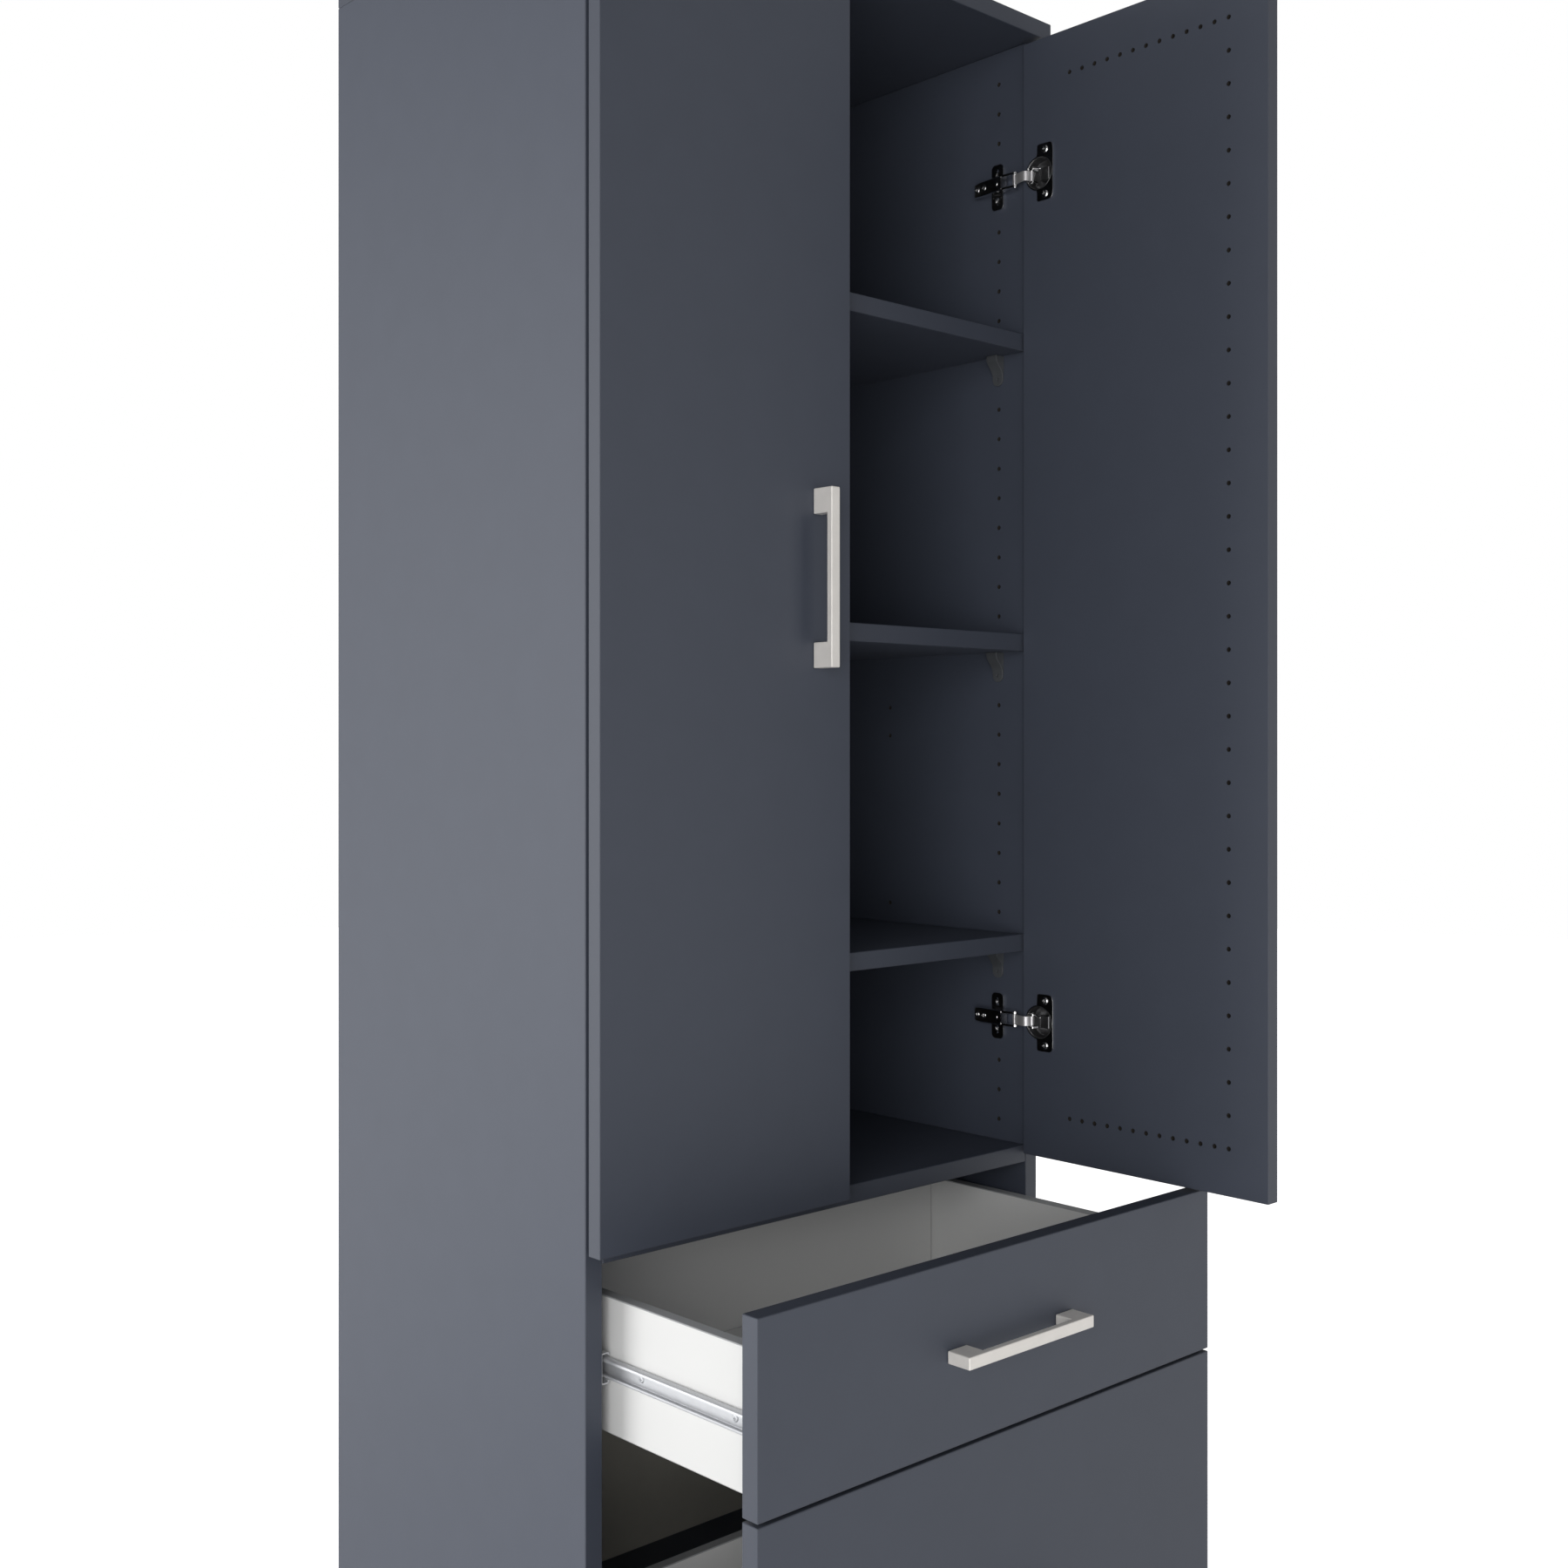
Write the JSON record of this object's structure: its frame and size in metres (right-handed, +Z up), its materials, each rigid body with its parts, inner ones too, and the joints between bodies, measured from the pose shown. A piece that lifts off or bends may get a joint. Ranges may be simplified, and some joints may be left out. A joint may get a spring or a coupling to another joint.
{
  "type": "pantry cabinet",
  "caption": "Tall pantry cabinet with drilled sides, shelves, two doors on concealed hinges above and wide drawers on runners below; one door and the drawers stand open.",
  "frame": {"origin": "on the floor, below the middle of the object's box as it stands, with the right door and the drawers open", "axes": "+X to the right when facing the cabinet, -Y out of its front, +Z up"},
  "size_m": [0.616, 0.72, 1.8],
  "materials": {
    "anthracite_board": "matt melamine-faced board with banded edges",
    "grey_back_board": "dull lacquered fibreboard",
    "white_board": "white melamine-faced board",
    "brushed_nickel": "satin nickel, brushed lengthwise",
    "polished_nickel": "bright nickel plate",
    "zinc_steel": "bright zinc plated sheet",
    "dark_plastic": "fine-textured moulded nylon"
  },
  "bodies": {
    "carcass": {"side_panel_left": "anthracite_board", "side_panel_right": "anthracite_board", "top_panel": "anthracite_board", "middle_panel": "anthracite_board", "bottom_panel": "anthracite_board", "back_panel": "grey_back_board", "plinth": "anthracite_board", "shelf_upper": "anthracite_board", "shelf_middle": "anthracite_board", "shelf_lower": "anthracite_board", "support_upper_left_front": "dark_plastic", "support_upper_left_rear": "dark_plastic", "support_upper_right_front": "dark_plastic", "support_upper_right_rear": "dark_plastic", "support_middle_left_front": "dark_plastic", "support_middle_left_rear": "dark_plastic", "support_middle_right_front": "dark_plastic", "support_middle_right_rear": "dark_plastic", "support_lower_left_front": "dark_plastic", "support_lower_left_rear": "dark_plastic", "support_lower_right_front": "dark_plastic", "support_lower_right_rear": "dark_plastic", "hinge_arm_left_upper": "polished_nickel", "hinge_arm_left_lower": "polished_nickel", "hinge_arm_right_upper": "polished_nickel", "hinge_arm_right_lower": "polished_nickel", "runner_fixed_upper_left": "zinc_steel", "runner_fixed_upper_right": "zinc_steel", "runner_fixed_lower_left": "zinc_steel", "runner_fixed_lower_right": "zinc_steel"},
    "link_left_upper": {"hinge_link_left_upper": "polished_nickel"},
    "link_left_lower": {"hinge_link_left_lower": "polished_nickel"},
    "door_left": {"door_left": "anthracite_board", "handle_door_left": "brushed_nickel", "hinge_cup_left_upper": "polished_nickel", "hinge_cup_left_lower": "polished_nickel"},
    "link_right_upper": {"hinge_link_right_upper": "polished_nickel"},
    "link_right_lower": {"hinge_link_right_lower": "polished_nickel"},
    "door_right": {"door_right": "anthracite_board", "handle_door_right": "brushed_nickel", "hinge_cup_right_upper": "polished_nickel", "hinge_cup_right_lower": "polished_nickel"},
    "drawer_upper": {"drawer_upper_front": "anthracite_board", "drawer_upper_side_left": "white_board", "drawer_upper_side_right": "white_board", "drawer_upper_back": "white_board", "drawer_upper_bottom": "white_board", "handle_drawer_upper": "brushed_nickel", "runner_sliding_upper_left": "zinc_steel", "runner_sliding_upper_right": "zinc_steel"},
    "drawer_lower": {"drawer_lower_front": "anthracite_board", "drawer_lower_side_left": "white_board", "drawer_lower_side_right": "white_board", "drawer_lower_back": "white_board", "drawer_lower_bottom": "white_board", "handle_drawer_lower": "brushed_nickel", "runner_sliding_lower_left": "zinc_steel", "runner_sliding_lower_right": "zinc_steel"}
  },
  "joints": [
    {"name": "link_left_upper_pivot", "type": "hinge", "parent": "carcass", "child": "link_left_upper", "pos_m": [-0.282, -0.052, 1.635], "axis": [0, 0, -1], "range_deg": [-41, 0]},
    {"name": "link_left_lower_pivot", "type": "hinge", "parent": "carcass", "child": "link_left_lower", "pos_m": [-0.282, -0.052, 0.739], "axis": [0, 0, -1], "range_deg": [-41, 0]},
    {"name": "door_left_swing", "type": "hinge", "parent": "link_left_upper", "child": "door_left", "pos_m": [-0.29736, -0.0655, 1.635], "axis": [0, 0, -1], "range_deg": [0, 135.98]},
    {"name": "link_right_upper_pivot", "type": "hinge", "parent": "carcass", "child": "link_right_upper", "pos_m": [0.266, -0.052, 1.635], "axis": [0, 0, 1], "range_deg": [-2.18, 38.84]},
    {"name": "link_right_lower_pivot", "type": "hinge", "parent": "carcass", "child": "link_right_lower", "pos_m": [0.266, -0.052, 0.739], "axis": [0, 0, 1], "range_deg": [-2.18, 38.84]},
    {"name": "door_right_swing", "type": "hinge", "parent": "link_right_upper", "child": "door_right", "pos_m": [0.2695, -0.07214, 1.635], "axis": [0, 0, 1], "range_deg": [-128.82, 7.16]},
    {"name": "drawer_upper_slide", "type": "slide", "parent": "carcass", "child": "drawer_upper", "axis": [0, -1, 0], "range_m": [-0.198, 0.027]},
    {"name": "drawer_lower_slide", "type": "slide", "parent": "carcass", "child": "drawer_lower", "axis": [0, -1, 0], "range_m": [-0.198, 0.027]}
  ],
  "couplings": [
    {"joint": "link_left_upper_pivot", "follows": "door_left_swing", "ratio": -0.30137},
    {"joint": "link_left_lower_pivot", "follows": "door_left_swing", "ratio": -0.30137},
    {"joint": "link_right_upper_pivot", "follows": "door_right_swing", "ratio": -0.30137},
    {"joint": "link_right_lower_pivot", "follows": "door_right_swing", "ratio": -0.30137}
  ]
}
